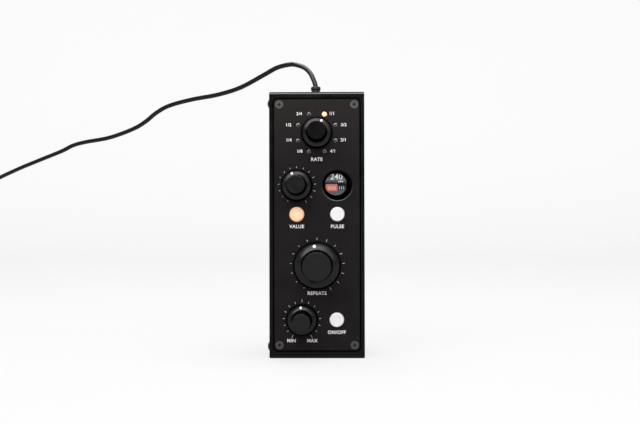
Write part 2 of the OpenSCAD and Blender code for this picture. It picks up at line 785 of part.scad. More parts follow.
// Control board behind the panel
module control_board() {
    color("#1d4a34") slab(board_front_y, board_t) difference() {
        union() {
            translate([0, board_mid]) square([board_w, board_h], center = true);
            translate([-tab_w / 2, tab_low]) square([tab_w, tab_high - tab_low]);
        }
        translate([0, board_mid]) at_corners(standoff_x, standoff_z)
            circle(d = board_screw_d + 2 * screw_gap);
    }
}
module board_standoffs() {
    bore = board_screw_d + 2 * screw_gap;
    color("#a9a59a") translate([0, 0, board_mid]) difference() {
        slab(panel_back_y, board_room) at_corners(standoff_x, standoff_z) circle(d = standoff_d);
        slab(board_front_y - board_screw_len, board_screw_len + cut)
            at_corners(standoff_x, standoff_z) circle(d = bore);
    }
}
module board_screws() {
    color("#8d8d90") for (sx = [-1, 1], sz = [-1, 1])
        to_back([sx * standoff_x, board_mid + sz * standoff_z], board_back_y)
            pan_screw(board_screw_d, board_screw_len, board_head_d, board_head_h);
}

// Rotary controls
module control_body(at, w, h) {
    deep = cover_front_y - panel_back_y;
    neck_l = panel_t + neck_out;
    room_t = rotor_t + 2 * rotor_gap;
    difference() {
        union() {
            slab(panel_back_y, deep) translate(at) square([w, h], center = true);
            to_front(at, panel_back_y) cylinder(d = neck_d, h = neck_l);
        }
        to_front(at, cover_front_y + cut) cylinder(d = shaft_d + 2 * shaft_play, h = deep + neck_l + 2 * cut);
        to_front(at, cover_front_y + cut) cylinder(d = rotor_d + 2 * rotor_gap, h = room_t + cut);
    }
}
module time_switch_body() {
    color("#3a3d3a") control_body(time_at, switch_w, switch_w);
}
module param_pot_body() {
    color("#3a3d3a") control_body(param_at, pot_w, pot_h);
}
module feedback_pot_body() {
    color("#3a3d3a") control_body(feedback_at, pot_w, pot_h);
}
module mix_pot_body() {
    color("#3a3d3a") control_body(mix_at, pot_w, pot_h);
}
module control_rear_covers() {
    color("#9a9a94") slab(cover_front_y, rear_cover_t) {
        translate(time_at) square(switch_w, center = true);
        for (at = [param_at, feedback_at, mix_at]) translate(at) square([pot_w, pot_h], center = true);
    }
}
module control_washers() {
    color("#a5a5a5") for (at = control_places) to_front(at, panel_front_y) linear_extrude(washer_t)
        difference() {
            circle(d = washer_d);
            circle(d = neck_d + 2 * neck_gap);
        }
}
module control_nuts() {
    color("#a5a5a5") for (at = control_places) to_front(at, panel_front_y - washer_t) linear_extrude(nut_t)
        difference() {
            hexagon(nut_w);
            circle(d = neck_d + 2 * screw_gap);
        }
}
module control_shaft(at, turn) {
    end_y = cover_front_y - rotor_gap;
    len = end_y - panel_front_y + shaft_out;
    flat_x = shaft_d / 2 - flat_cut;
    color("#b5b5b2") translate([at[0], end_y, at[1]]) rotate([0, turn, 0]) rotate([90, 0, 0]) difference() {
        union() {
            cylinder(d = shaft_d, h = len);
            cylinder(d = rotor_d, h = rotor_t);
        }
        translate([-shaft_d, -shaft_d - flat_x, len - flat_len]) cube([2 * shaft_d, shaft_d, flat_len + cut]);
    }
}
module time_shaft() {
    control_shaft(time_at, time_turn);
}
module param_shaft() {
    control_shaft(param_at, param_turn);
}
module feedback_shaft() {
    control_shaft(feedback_at, feedback_turn);
}
module mix_shaft() {
    control_shaft(mix_at, mix_turn);
}

// Knobs: a steep side, a brim that sweeps up to the cap in a hollow curve, and a tall cap with a flat face
function rim_r(d) = d / 2 - side_lean;
// Radius and middle of the hollow curve
function sweep_r(d, base_d) = (rim_r(d) - base_d / 2) / (sin(foot_slope) - sin(rim_slope));
function sweep_mid(d, base_d) =
    [rim_r(d), rim_h] + sweep_r(d, base_d) * [sin(rim_slope), cos(rim_slope)];
// Height of a brim's top at that radius
function brim_top(d, base_d, radius) =
    let (r = sweep_r(d, base_d), mid = sweep_mid(d, base_d)) mid[1] - sqrt(r * r - pow(mid[0] - radius, 2));
module knob_profile(d, base_d, cap_d) {
    wall_top = knob_h - cap_round;
    foot_h = brim_top(d, base_d, base_d / 2);
    brim_h = foot_h + knob_blend;
    lean = (base_d - cap_d) / 2 / (wall_top - foot_h);
    difference() {
        polygon([[0, 0], [d / 2, 0], [d / 2 - side_lean * brim_h / rim_h, brim_h], [0, brim_h]]);
        translate(sweep_mid(d, base_d)) circle(sweep_r(d, base_d));
    }
    polygon([
        [0, 0], [base_d / 2 + lean * foot_h, 0], [cap_d / 2, wall_top],
        [cap_d / 2 - cap_round, knob_h], [0, knob_h]
    ]);
    translate([cap_d / 2 - cap_round, wall_top]) circle(cap_round);
}
module shaft_hole() {
    depth = shaft_out - knob_gap + knob_fit;
    flat_x = shaft_d / 2 - flat_cut;
    difference() {
        translate([0, 0, -cut]) cylinder(d = shaft_d + 2 * knob_fit, h = depth + cut);
        translate([-shaft_d, -shaft_d - flat_x - knob_fit, depth - flat_len])
            cube([2 * shaft_d, shaft_d, flat_len + cut]);
    }
}
// A pointer dot's way into the brim, from its flat bottom
module dot_way(d, base_d, dot_d, dot_inset, gap) {
    low = brim_top(d, base_d, d / 2 - dot_inset + dot_d / 2) - dot_t;
    translate([0, d / 2 - dot_inset, low]) cylinder(d = dot_d + 2 * gap, h = knob_h);
}
module on_shaft(at, turn) {
    translate([at[0], knob_back_y, at[1]]) rotate([0, turn, 0]) rotate([90, 0, 0]) children();
}
module knob(at, turn, d, base_d, cap_d, dot_d, dot_inset) {
    nut_room_d = nut_w / cos(30) + 2 * nut_room;
    color("#1e1e1f") on_shaft(at, turn) difference() {
        rotate_extrude() knob_profile(d, base_d, cap_d);
        translate([0, 0, -cut]) cylinder(d = nut_room_d, h = neck_out - knob_gap + nut_room + cut);
        shaft_hole();
        dot_way(d, base_d, dot_d, dot_inset, knob_fit);
    }
}
// A dot's face follows the brim and stands out of it a little
module pointer(at, turn, d, base_d, cap_d, dot_d, dot_inset) {
    color("#f2f0ea") on_shaft(at, turn) intersection() {
        translate([0, 0, dot_out]) rotate_extrude() knob_profile(d, base_d, cap_d);
        dot_way(d, base_d, dot_d, dot_inset, 0);
    }
}
module small_knob(at, turn) {
    knob(at, turn, small_knob_d, small_base_d, small_cap_d, small_dot_d, small_dot_inset);
}
module small_pointer(at, turn) {
    pointer(at, turn, small_knob_d, small_base_d, small_cap_d, small_dot_d, small_dot_inset);
}
module large_knob(at, turn) {
    knob(at, turn, large_knob_d, large_base_d, large_cap_d, large_dot_d, large_dot_inset);
}
module large_pointer(at, turn) {
    pointer(at, turn, large_knob_d, large_base_d, large_cap_d, large_dot_d, large_dot_inset);
}
module time_knob() {
    small_knob(time_at, time_turn);
}
module param_knob() {
    small_knob(param_at, param_turn);
}
module feedback_knob() {
    large_knob(feedback_at, feedback_turn);
}
module mix_knob() {
    small_knob(mix_at, mix_turn);
}
module time_pointer() {
    small_pointer(time_at, time_turn);
}
module param_pointer() {
    small_pointer(param_at, param_turn);
}
module feedback_pointer() {
    large_pointer(feedback_at, feedback_turn);
}
module mix_pointer() {
    small_pointer(mix_at, mix_turn);
}

// Buttons
module button(at) {
    h = flange_back_y - panel_front_y + button_out;
    color("#f1eee9") to_front(at, flange_back_y) {
        soft_disc(button_d, h, button_round);
        cylinder(d = flange_d, h = flange_t);
    }
}
module plunger(at) {
    len = tact_front_y - flange_back_y + plunger_in;
    color("#d9d4c8") to_back(at, flange_back_y) cylinder(d = plunger_d, h = len);
}
module param_button() {
    button(param_button_at);
}
module tempo_button() {
    button(tempo_button_at);
}
module on_off_button() {
    button(on_off_button_at);
}
module param_plunger() {
    plunger(param_button_at);
}
module tempo_plunger() {
    plunger(tempo_button_at);
}
module on_off_plunger() {
    plunger(on_off_button_at);
}
module button_switches() {
    hole_d = plunger_d + 2 * plunger_gap;
    hole_t = plunger_in + button_travel + plunger_gap;
    color("#202020") for (at = button_places) difference() {
        slab(tact_front_y, tact_h) translate(at) square(tact_w, center = true);
        to_back(at, tact_front_y - cut) cylinder(d = hole_d, h = hole_t + cut);
    }
}
module button_lamps() {
    color("#f4e2b8") for (at = button_places) slab(board_front_y - lamp_h, lamp_h)
        translate(at - [0, lamp_drop]) square(lamp_w, center = true);
}

// Dial lights
module dial_light(i) {
    r = light_d / 2;
    to_front(light_at(i), light_foot_y) {
        cylinder(d = light_foot_d, h = light_foot_t);
        cylinder(r = r, h = light_h - r);
        translate([0, 0, light_h - r]) sphere(r);
    }
}
module dial_lights() {
    color("#b9b4ad") for (i = [1 : light_count - 1]) dial_light(i);
}
module dial_light_lit() {
    color("#ffdf9c") dial_light(0);
}
module light_spacers() {
    color("#1b1b1b") for (i = [0 : light_count - 1])
        to_back(light_at(i), light_foot_y) linear_extrude(board_front_y - light_foot_y) difference() {
            circle(d = light_foot_d);
            circle(d = spacer_bore);
        }
}

// Display
module display_window() {
    color("#30343a") to_front(display_at, panel_back_y)
        cylinder(d = display_hole_d - 2 * window_gap, h = window_t);
}
module display_bezel() {
    color("#0d0d0e") slab(panel_back_y, bezel_t) difference() {
        translate(display_at) square(bezel_w, center = true);
        translate(screen_at) circle(d = screen_d);
    }
}
module display_screen() {
    color("#8f9193") slab(bezel_back_y, glass_t) translate(screen_at) circle(d = glass_d);
}
module display_board() {
    room = board_front_y - display_board_back_y;
    color("#1d3b4a") {
        slab(glass_back_y, display_board_t) translate(display_at) square(bezel_w, center = true);
        slab(display_board_back_y, room) translate(display_at) square([header_w, header_t], center = true);
    }
}

// Main board on the back wall
module main_board() {
    color("#1d4a34") translate([0, 0, main_mid]) slab(main_front_y, board_t) difference() {
        square([main_w, main_h], center = true);
        at_corners(boss_x, boss_z) circle(d = board_screw_d + 2 * screw_gap);
    }
}
module main_board_screws() {
    color("#8d8d90") for (sx = [-1, 1], sz = [-1, 1])
        to_front([sx * boss_x, main_mid + sz * boss_z], main_front_y)
            pan_screw(board_screw_d, board_screw_len, board_head_d, board_head_h);
}
module board_chips() {
    color("#181818") for (i = [0 : len(chip_sizes) - 1]) to_front([0, ribbon_z], main_front_y)
        translate([chip_places[i][0] - chip_sizes[i][0] / 2, chip_places[i][1] - chip_sizes[i][1] / 2, 0])
            cube(chip_sizes[i]);
}
module board_capacitors() {
    color("#2f4468") for (place = capacitor_places) to_front([0, ribbon_z] + place, main_front_y)
        soft_disc(capacitor_d, capacitor_h, capacitor_round);
}
module ribbon_headers() {
    size = [ribbon_w, ribbon_header_t];
    color("#e4e0d4") translate([0, 0, ribbon_z]) {
        slab(board_back_y, plug_in_h) square(size, center = true);
        slab(main_front_y - plug_in_h, plug_in_h) square(size, center = true);
    }
}
// The ribbon bows upwards between the two headers
module ribbon_cable() {
    near = board_back_y + plug_in_h;
    far = main_front_y - plug_in_h;
    half = (far - near) / 2;
    bow_r = half * ribbon_bow;
    sink = sqrt(bow_r * bow_r - half * half);
    color("#b8b8b8") translate([-ribbon_w / 2, (near + far) / 2, ribbon_z]) rotate([90, 0, 90])
        linear_extrude(ribbon_w) intersection() {
            translate([0, -sink]) difference() {
                circle(bow_r + ribbon_t / 2);
                circle(bow_r - ribbon_t / 2);
            }
            translate([-half, -ribbon_header_t / 2]) square([2 * half, 2 * bow_r]);
        }
}

// Cord
module cord_bush() {
    rim_low = exit_z - bush_rim_h;
    wide = bush_d / 2;
    narrow = wide - bush_bevel;
    color("#1a1a1a") translate([-bush_left, 0, 0]) difference() {
        union() {
            translate([0, 0, bush_low]) cylinder(d = bush_thread_d, h = case_h - bush_low);
            translate([0, 0, case_h]) cylinder(d = bush_neck_d, h = bush_h);
            rotate_extrude() polygon([
                [0, rim_low], [narrow, rim_low], [wide, rim_low + bush_bevel], [wide, exit_z - bush_bevel],
                [narrow, exit_z], [0, exit_z]
            ]);
        }
        translate([0, 0, bush_low - cut])
            cylinder(d = cord_d + 2 * bush_gap, h = exit_z - bush_low + 2 * cut);
    }
}
module cord_bush_nut() {
    color("#a5a5a5") translate([-bush_left, 0, open_high - bush_nut_t]) linear_extrude(bush_nut_t)
        difference() {
            hexagon(bush_nut_w);
            circle(d = bush_thread_d + 2 * bush_gap);
        }
}
module cord_tail() {
    color("#151515") tube(smooth(tail_points, cord_steps), [down, down], cord_d, cord_sides);
}
module cord_header() {
    color("#e4e0d4") slab(main_front_y - plug_in_h, plug_in_h)
        translate([-bush_left - cord_header_size[0] / 2, cord_header_top - cord_header_size[1]])
            square(cord_header_size);
}
module cord() {
    color("#151515") tube(smooth(cord_points, cord_steps), [-down, forward], cord_d, cord_sides);
}
module cord_coil() {
    color("#151515") tube(coil_points, [forward, forward], cord_d, coil_sides);
}
// A strap round the pile of turns, on the side away from the cord's ends
module coil_tie() {
    reach = coil_in_r - cord_d / 2;
    near = sqrt(reach * reach - tie_w * tie_w / 4) - tie_gap;
    far = coil_r + cord_d / 2 + tie_gap;
    low = tie_t;
    high = coil_z + (coil_layers - 1) * coil_step + cord_d / 2 + tie_gap;
    w = far - near;
    h = high - low;
    color("#242424") translate([coil_mid[0] + (near + far) / 2, coil_mid[1], (low + high) / 2])
        slab(-tie_w / 2, tie_w) difference() {
            rounded(w + 2 * tie_t, h + 2 * tie_t, 2 * tie_t);
            rounded(w, h, tie_t);
        }
}

// Plug on the cord's far end, lying beside the coil
module plug_grip() {
    color("#1a1a1a") translate([plug_axis[0], 0, plug_axis[2]]) {
        slab(grip_front_y, grip_l) rounded(grip_w, grip_t, grip_round);
        to_front([0, 0], plug_axis[1]) cylinder(d1 = boot_d, d2 = boot_end_d, h = boot_l);
    }
}
module plug_shell() {
    color("#c4c4c6") translate([plug_axis[0], 0, plug_axis[2]]) slab(grip_front_y - shell_l, shell_l)
        difference() {
            square([shell_w, shell_h], center = true);
            square([shell_w - 2 * shell_wall, shell_h - 2 * shell_wall], center = true);
        }
}
module plug_tongue() {
    inner_w = shell_w - 2 * shell_wall - 2 * tongue_gap;
    high = shell_h / 2 - shell_wall - tongue_gap;
    len = shell_l - tongue_back;
    color("#e9e6de") translate([plug_axis[0], 0, plug_axis[2]]) slab(grip_front_y - len, len)
        translate([-inner_w / 2, high - tongue_t]) square([inner_w, tongue_t]);
}

case_body();
side_cover();
side_cover_screws();
front_panel();
front_panel_screws();
rear_feet();
control_board();
board_standoffs();
board_screws();
time_switch_body();
param_pot_body();
feedback_pot_body();
mix_pot_body();
control_rear_covers();
control_washers();
control_nuts();
dial_lights();
dial_light_lit();
light_spacers();
button_switches();
button_lamps();
display_window();
display_bezel();
display_screen();
display_board();
main_board();
main_board_screws();
board_chips();
board_capacitors();
ribbon_cable();
ribbon_headers();
cord_bush();
cord_bush_nut();
cord_tail();
cord_header();
cord();
cord_coil();
coil_tie();
plug_grip();
plug_shell();
plug_tongue();
time_knob();
param_knob();
feedback_knob();
mix_knob();
time_pointer();
param_pointer();
feedback_pointer();
mix_pointer();
time_shaft();
param_shaft();
feedback_shaft();
mix_shaft();
param_button();
tempo_button();
on_off_button();
param_plunger();
tempo_plunger();
on_off_plunger();
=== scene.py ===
import json
import math

import bpy
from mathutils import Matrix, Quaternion, Vector


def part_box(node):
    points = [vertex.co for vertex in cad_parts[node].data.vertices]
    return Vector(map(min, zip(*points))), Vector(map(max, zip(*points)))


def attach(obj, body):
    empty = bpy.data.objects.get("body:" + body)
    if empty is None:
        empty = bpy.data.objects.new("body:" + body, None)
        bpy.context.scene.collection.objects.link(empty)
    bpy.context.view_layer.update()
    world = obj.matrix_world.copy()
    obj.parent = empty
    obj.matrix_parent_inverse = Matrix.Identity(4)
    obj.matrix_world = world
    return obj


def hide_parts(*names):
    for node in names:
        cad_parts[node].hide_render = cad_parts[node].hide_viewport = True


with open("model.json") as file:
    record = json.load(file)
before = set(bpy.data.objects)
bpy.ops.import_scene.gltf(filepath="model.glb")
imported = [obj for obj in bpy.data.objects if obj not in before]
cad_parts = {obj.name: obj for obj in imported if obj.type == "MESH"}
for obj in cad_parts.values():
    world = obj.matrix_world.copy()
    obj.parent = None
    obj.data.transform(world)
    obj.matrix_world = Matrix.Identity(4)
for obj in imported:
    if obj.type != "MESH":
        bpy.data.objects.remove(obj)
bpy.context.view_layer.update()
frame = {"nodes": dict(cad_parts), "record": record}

MM = 0.001


def deselect():
    bpy.ops.object.select_all(action="DESELECT")


def select_only(piece):
    deselect()
    piece.select_set(True)
    bpy.context.view_layer.objects.active = piece


def settle(piece):
    """Puts a finished piece's place into its mesh."""
    select_only(piece)
    bpy.ops.object.transform_apply(location=True, rotation=True, scale=True)
    return piece


def pick_edges(piece, wanted):
    """Opens a piece for editing, with the edges selected whose two ends are wanted."""
    bpy.ops.object.mode_set(mode="EDIT")
    bpy.ops.mesh.select_mode(type="EDGE")
    bpy.ops.mesh.select_all(action="DESELECT")
    bpy.ops.object.mode_set(mode="OBJECT")
    places = [v.co.copy() for v in piece.data.vertices]
    for edge in piece.data.edges:
        edge.select = bool(wanted(places[edge.vertices[0]], places[edge.vertices[1]]))
    bpy.ops.object.mode_set(mode="EDIT")


def join(pieces, name, material):
    """Makes one piece of several, with a name and a finish of its own."""
    joined = pieces[0]
    select_only(joined)
    for piece in pieces[1:]:
        piece.select_set(True)
    if len(pieces) > 1:
        bpy.ops.object.join()
    joined.name = name
    joined.data.name = name
    joined.data.materials.clear()
    joined.data.materials.append(material)
    return joined


def centre_of(node):
    low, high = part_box(node)
    return (low + high) / 2


panel_low, panel_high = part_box("front_panel")
panel_y = panel_low.y

# Camera: in front of the panel, a little right of the middle, aimed a little up and to the left

CAMERA_LENS = 45
CAMERA_SENSOR = 36
CAMERA_NEAREST = 10
CAMERA_BACK = 520
CAMERA_RIGHT = 8
CAMERA_HEIGHT = 90
CAMERA_ROLL = -0.13  # degrees
AIM_RIGHT = 2.05
AIM_HEIGHT = 95.1


def make_camera():
    place = Vector((CAMERA_RIGHT * MM, panel_y - CAMERA_BACK * MM, CAMERA_HEIGHT * MM))
    aim = Vector((AIM_RIGHT * MM, panel_y, AIM_HEIGHT * MM))
    deselect()
    bpy.ops.object.camera_add(location=place)
    camera = bpy.context.object
    camera.name = "camera"
    camera.data.lens = CAMERA_LENS
    camera.data.sensor_width = CAMERA_SENSOR
    camera.data.clip_start = CAMERA_NEAREST * MM
    level = (aim - place).to_track_quat("-Z", "Y")
    camera.rotation_euler = (level @ Quaternion((0, 0, 1), math.radians(CAMERA_ROLL))).to_euler()
    bpy.context.scene.camera = camera


make_camera()

# Cord: out of the collar, through the air to the left, down to a tied coil on the floor, and into its plug

CORD_D = 3.3
CORD_ROUNDNESS = 4
CORD_EXIT = Vector((-0.9, 0, 180.2))
COIL_MID = Vector((-305, 62, 0))
COIL_Z = 2.85
COIL_R = 20.2
COIL_STEP = 3.85
COIL_TURNS = 9
COIL_LAYERS = 4
LAYER_TURNS = COIL_TURNS / COIL_LAYERS
CLIMB_TURNS = 0.5  # the part of a turn in which the cord climbs to the next layer
LEVEL_RUN = 14
DOWN_RUN = 28
PLUG_Z = 4
COIL_ENTER = Vector((COIL_MID.x - COIL_R, COIL_MID.y, COIL_Z))
CORD_POINTS = [
    CORD_EXIT, CORD_EXIT + Vector((-0.4, 0.3, 1.8)), (-2.4, 1.2, 185.2), (-4.6, 3, 190), (-8, 5, 193.8),
    (-12, 7, 196), (-18, 11, 197.8), (-28, 17, 196.8), (-38, 22, 192.5), (-56, 33, 185.4), (-74, 43, 181.9),
    (-94, 53, 180.1), (-113, 64, 177.2), (-124, 69, 172.6), (-134, 74, 166.1), (-145, 79, 161),
    (-166, 89, 155.5), (-188, 100, 153.2), (-200, 105, 150.9), (-211, 110, 146.7), (-234, 120, 139.7),
    (-258, 131, 132.2), (-283, 141, 122.4), (-305, 147, 108.6), (-322, 146, 89), (-330, 137, 66),
    (-332, 122, 42), (-330, 104, 21), (-327, 84, 7),
    COIL_ENTER + Vector((0, 2 * CORD_D, 0)), COIL_ENTER + Vector((0, CORD_D, 0)),
]
POINTS_PER_SPAN = 6
POINTS_PER_TURN = 36
POINTS_PER_RUN = 12


def ease(t):
    t = min(max(t, 0), 1)
    return t * t * (3 - 2 * t)


def through(points, steps):
    """A smooth line through the points."""
    points = [Vector(p) for p in points]
    last = len(points) - 1
    line = []
    for i in range(last):
        a, b, c, d = points[max(i - 1, 0)], points[i], points[i + 1], points[min(i + 2, last)]
        for step in range(steps):
            t = step / steps
            line.append(0.5 * (2 * b + (c - a) * t + (2 * a - 5 * b + 4 * c - d) * t**2
                               + (3 * b - a - 3 * c + d) * t**3))
    return line + [points[last]]


def coil_point(turn):
    """A place on the coil after so many turns: inwards on one layer, outwards on the next."""
    layer = min(int(turn / LAYER_TURNS), COIL_LAYERS - 1)
    part = turn - layer * LAYER_TURNS
    inner = COIL_R - COIL_STEP * LAYER_TURNS
    radius = COIL_R - COIL_STEP * part if layer % 2 == 0 else inner + COIL_STEP * part
    climb = sum(ease((turn - k * LAYER_TURNS) / CLIMB_TURNS + 0.5) for k in range(1, COIL_LAYERS))
    angle = math.pi + 2 * math.pi * turn
    place = Vector((radius * math.cos(angle), radius * math.sin(angle), COIL_Z + COIL_STEP * climb))
    return COIL_MID + place


def to_plug(run):
    """The cord's way from the coil's top turn down to the plug, after that much of it."""
    leave = coil_point(COIL_TURNS)
    drop = ease((run - LEVEL_RUN) / DOWN_RUN)
    return Vector((leave.x, leave.y - run, leave.z * (1 - drop) + PLUG_Z * drop))


def cord_line():
    line = through(CORD_POINTS, POINTS_PER_SPAN)
    line += [coil_point(i / POINTS_PER_TURN) for i in range(COIL_TURNS * POINTS_PER_TURN + 1)]
    whole_run = LEVEL_RUN + DOWN_RUN + CORD_D
    line += [to_plug(whole_run * i / POINTS_PER_RUN) for i in range(1, POINTS_PER_RUN + 1)]
    return [p * MM for p in line]


def make_cord():
    line = cord_line()
    curve = bpy.data.curves.new("cord_run", "CURVE")
    curve.dimensions = "3D"
    curve.bevel_depth = CORD_D / 2 * MM
    curve.bevel_resolution = CORD_ROUNDNESS
    curve.use_fill_caps = True
    spline = curve.splines.new("POLY")
    spline.points.add(len(line) - 1)
    for point, place in zip(spline.points, line):
        point.co = (*place, 1)
    spline.use_smooth = True
    cord = bpy.data.objects.new("cord_run", curve)
    bpy.context.scene.collection.objects.link(cord)
    select_only(cord)
    bpy.ops.object.convert(target="MESH")
    cord = bpy.context.object
    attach(cord, "unit")
    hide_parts("cord", "cord_coil")
    return cord


cord_run = make_cord()

# Finishes, first the steps that they are made of; an owner is a material or the world

WHITE = (1, 1, 1, 1)
PLAIN_SPECULAR = 0.5
PATCH_LOW = 0.3  # a patch's noise is taken to run from here
PATCH_HIGH = 0.7  # to here
SOCKETS = {
    "metal": "Metallic", "roughness": "Roughness", "specular": "Specular IOR Level", "ior": "IOR",
    "coat": "Coat Weight", "coat_roughness": "Coat Roughness", "see_through": "Transmission Weight",
    "glow_strength": "Emission Strength",
}


def blank(name):
    material = bpy.data.materials.new(name)
    material.use_nodes = True
    return material


def shader_of(material):
    return material.node_tree.nodes["Principled BSDF"]


def set_all(material, **values):
    """Sets the shader's own sockets, by their short names."""
    for name, value in values.items():
        shader_of(material).inputs[SOCKETS[name]].default_value = value


def to_shader(material, name, source):
    """Links a source to the shader's socket of that name."""
    material.node_tree.links.new(source, shader_of(material).inputs[name])


def feed(owner, socket, value):
    """Gives a socket a number, or links it to another socket."""
    if isinstance(value, bpy.types.NodeSocket):
        owner.node_tree.links.new(value, socket)
    else:
        socket.default_value = value


def worked(owner, operation, *values):
    """One step of a sum; each value is a number or a socket."""
    step = owner.node_tree.nodes.new("ShaderNodeMath")
    step.operation = operation
    for socket, value in zip(step.inputs, values):
        feed(owner, socket, value)
    return step.outputs[0]


def vector_worked(owner, operation, first, second=(0, 0, 0)):
    """One step of a sum of vectors, the second in plain numbers."""
    step = owner.node_tree.nodes.new("ShaderNodeVectorMath")
    step.operation = operation
    step.inputs[1].default_value = second
    owner.node_tree.links.new(first, step.inputs[0])
    return step.outputs["Value" if operation == "LENGTH" else "Vector"]


def share_of(owner, amount, least, most, low=0.0, high=1.0, kind="LINEAR"):
    """Turns an amount between two limits into a level between two others, or into a share of one."""
    level = owner.node_tree.nodes.new("ShaderNodeMapRange")
    level.interpolation_type = kind
    level.inputs["From Min"].default_value = least
    level.inputs["From Max"].default_value = most
    level.inputs["To Min"].default_value = low
    level.inputs["To Max"].default_value = high
    owner.node_tree.links.new(amount, level.inputs["Value"])
    return level.outputs["Result"]


def part_of(owner, vector, axis):
    parts = owner.node_tree.nodes.new("ShaderNodeSeparateXYZ")
    owner.node_tree.links.new(vector, parts.inputs["Vector"])
    return parts.outputs[axis]


def on_piece(material, stretch=(1, 1, 1), move=(0, 0, 0)):
    """The piece's own coordinates, stretched and then moved."""
    nodes, links = material.node_tree.nodes, material.node_tree.links
    places = nodes.new("ShaderNodeTexCoord")
    fitted = nodes.new("ShaderNodeMapping")
    fitted.inputs["Scale"].default_value = stretch
    fitted.inputs["Location"].default_value = move
    links.new(places.outputs["Object"], fitted.inputs["Vector"])
    return fitted.outputs["Vector"]


def along(material, axis):
    """The piece's coordinate along X, Y or Z."""
    return part_of(material, on_piece(material), axis)


def around(material, node):
    """A place as it is seen from the front, measured from a node's middle."""
    centre = centre_of(node)
    return on_piece(material, (1, 0, 1), (-centre.x, 0, -centre.z))


def from_middle(material, node):
    """How far a place is from a node's middle, seen from the front, in metres."""
    return vector_worked(material, "LENGTH", around(material, node))


def patches(material, size, detail=2, stretch=(1, 1, 1)):
    """Soft patches of that size in millimetres."""
    noise = material.node_tree.nodes.new("ShaderNodeTexNoise")
    noise.inputs["Scale"].default_value = 1 / (size * MM)
    noise.inputs["Detail"].default_value = detail
    material.node_tree.links.new(on_piece(material, stretch), noise.inputs["Vector"])
    return noise.outputs["Fac"]


def ramp(material, amount, stops):
    """Colours that follow an amount, as pairs of the amount and its colour."""
    chosen = material.node_tree.nodes.new("ShaderNodeValToRGB")
    marks = chosen.color_ramp.elements
    while len(marks) < len(stops):
        marks.new(1)
    for mark, (place, colour) in zip(marks, stops):
        mark.position = place
        mark.color = (*colour, 1)
    material.node_tree.links.new(amount, chosen.inputs["Fac"])
    return chosen.outputs["Color"]


def cloudy(material, amount, colour, spread):
    """A colour that is darker and lighter in patches, by that share."""
    dark = [c * (1 - spread) for c in colour]
    light = [c * (1 + spread) for c in colour]
    to_shader(material, "Base Color", ramp(material, amount, [(PATCH_LOW, dark), (PATCH_HIGH, light)]))


def uneven_gloss(material, amount, roughness, spread):
    """A gloss that is duller and shinier in patches."""
    level = share_of(material, amount, PATCH_LOW, PATCH_HIGH, roughness - spread, roughness + spread)
    to_shader(material, "Roughness", level)


def raised(material, height, depth):
    """Raises the surface by a height, of that depth in millimetres."""
    bump = material.node_tree.nodes.new("ShaderNodeBump")
    bump.inputs["Distance"].default_value = depth * MM
    material.node_tree.links.new(height, bump.inputs["Height"])
    to_shader(material, "Normal", bump.outputs["Normal"])


def overlaid(material, share, colour):
    """Lays a colour over the material's own, by that share."""
    links = material.node_tree.links
    base = shader_of(material).inputs["Base Color"]
    mixed = material.node_tree.nodes.new("ShaderNodeMix")
    mixed.data_type = "RGBA"
    under, over = [socket for socket in mixed.inputs if socket.type == "RGBA"]
    links.new(share, mixed.inputs["Factor"])
    links.new(base.links[0].from_socket, under)
    over.default_value = (*colour, 1)
    links.new(next(socket for socket in mixed.outputs if socket.type == "RGBA"), base)


# Finishes that several pieces share: each has its own colour, gloss and grain, on the piece's own coordinates

LINE_STRETCH = (1, 12, 1)
TRACK_PITCH = 3
TRACK_W = 0.06  # of the pitch
BOARD_SHADE = 0.85
THREAD_PITCH = 3.2
THREAD_WAVER = 0.6


def skin(name, colour, roughness, specular, cloud, shade, dull, grain, depth, cloud_detail=2, grain_detail=2):
    """Clouds of one size, which shade the colour and dull the gloss by a share, over a raised grain."""
    material = blank(name)
    set_all(material, specular=specular)
    clouds = patches(material, cloud, cloud_detail)
    cloudy(material, clouds, colour, shade)
    uneven_gloss(material, clouds, roughness, dull)
    raised(material, patches(material, grain, grain_detail), depth)
    return material


def paint(name, colour, roughness, specular):
    """Sprayed paint: a fine pebbled skin, a little cloudy in colour and gloss."""
    return skin(name, colour, roughness, specular, cloud=11, shade=0.14, dull=0.05,
                grain=0.32, grain_detail=3, depth=0.012)


def moulded(name, colour, roughness, specular=PLAIN_SPECULAR):
    """Moulded plastic: a close matt grain, with smoother and duller places."""
    return skin(name, colour, roughness, specular, cloud=5, shade=0.08, dull=0.04, grain=0.2, depth=0.005)


def rubber(name, colour, roughness, specular=PLAIN_SPECULAR):
    """Soft rubber: dusty patches over a fine skin."""
    return skin(name, colour, roughness, specular, cloud=3.5, cloud_detail=4, shade=0.2, dull=0.07,
                grain=0.4, grain_detail=3, depth=0.01)


def milky(name, colour, roughness):
    """A milky cap: smooth, with a trace of unevenness in its body."""
    return skin(name, colour, roughness, PLAIN_SPECULAR, cloud=3, shade=0.025, dull=0.05,
                grain=0.6, depth=0.006)


def bare_metal(name, roughness):
    """Metal with fine lines along the way it was worked, without a colour yet."""
    material = blank(name)
    set_all(material, metal=1)
    lines = patches(material, size=0.5, detail=3, stretch=LINE_STRETCH)
    uneven_gloss(material, lines, roughness, spread=0.08)
    raised(material, lines, depth=0.003)
    return material


def metal(name, colour, roughness):
    """Plated or turned metal, a little tarnished."""
    material = bare_metal(name, roughness)
    cloudy(material, patches(material, size=2.5), colour, spread=0.12)
    return material


